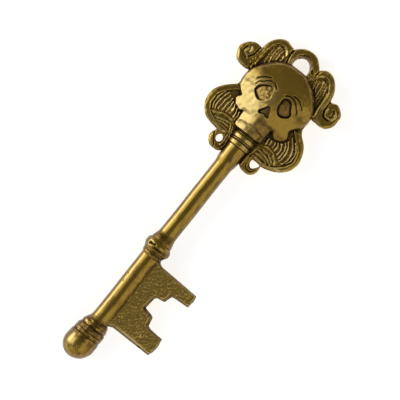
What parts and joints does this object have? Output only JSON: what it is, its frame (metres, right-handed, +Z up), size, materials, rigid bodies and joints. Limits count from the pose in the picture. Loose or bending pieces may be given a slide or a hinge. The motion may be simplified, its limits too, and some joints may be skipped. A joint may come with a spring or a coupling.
{
  "type": "decorative skeleton key",
  "caption": "Large antique-brass ornamental key with a ringed shank, a notched flat bit and a winged skull bow under a hanging loop.",
  "frame": {"origin": "under the shank's axis, half way along the key, on the surface that the key lies on", "axes": "+X across the key, toward its bit; +Y along the shank, toward the bow; +Z up, toward the skull's face"},
  "size_m": [0.048, 0.15, 0.0147],
  "materials": {
    "turned_brass": "satin, hand-rubbed, with dark patina in the grooves",
    "cast_brass": "as cast, fine grainy surface, lightly rubbed on the edges",
    "antique_brass": "cast relief, olive-brown patina in the recesses, rubbed bright on the high places"
  },
  "bodies": {
    "root": {"ball_finial": "turned_brass", "rim_ring": "turned_brass", "middle_ring": "turned_brass", "taper_ring": "turned_brass", "lower_shank": "turned_brass", "knop_base_ring": "turned_brass", "knop_bead": "turned_brass", "knop_reeded_ring": "turned_brass", "upper_shank": "turned_brass", "neck_ring": "turned_brass", "throat_ring": "turned_brass", "bit": "cast_brass", "bow_plate": "antique_brass", "skull": "antique_brass", "hanging_loop": "antique_brass", "right_wing_rim": "antique_brass", "left_wing_rim": "antique_brass", "right_wing_feathers": "antique_brass", "left_wing_feathers": "antique_brass", "right_lower_feathers": "antique_brass", "left_lower_feathers": "antique_brass", "right_crown_scroll": "antique_brass", "left_crown_scroll": "antique_brass", "right_crown_ribs": "antique_brass", "left_crown_ribs": "antique_brass", "right_curl": "antique_brass", "left_curl": "antique_brass"}
  },
  "joints": []
}
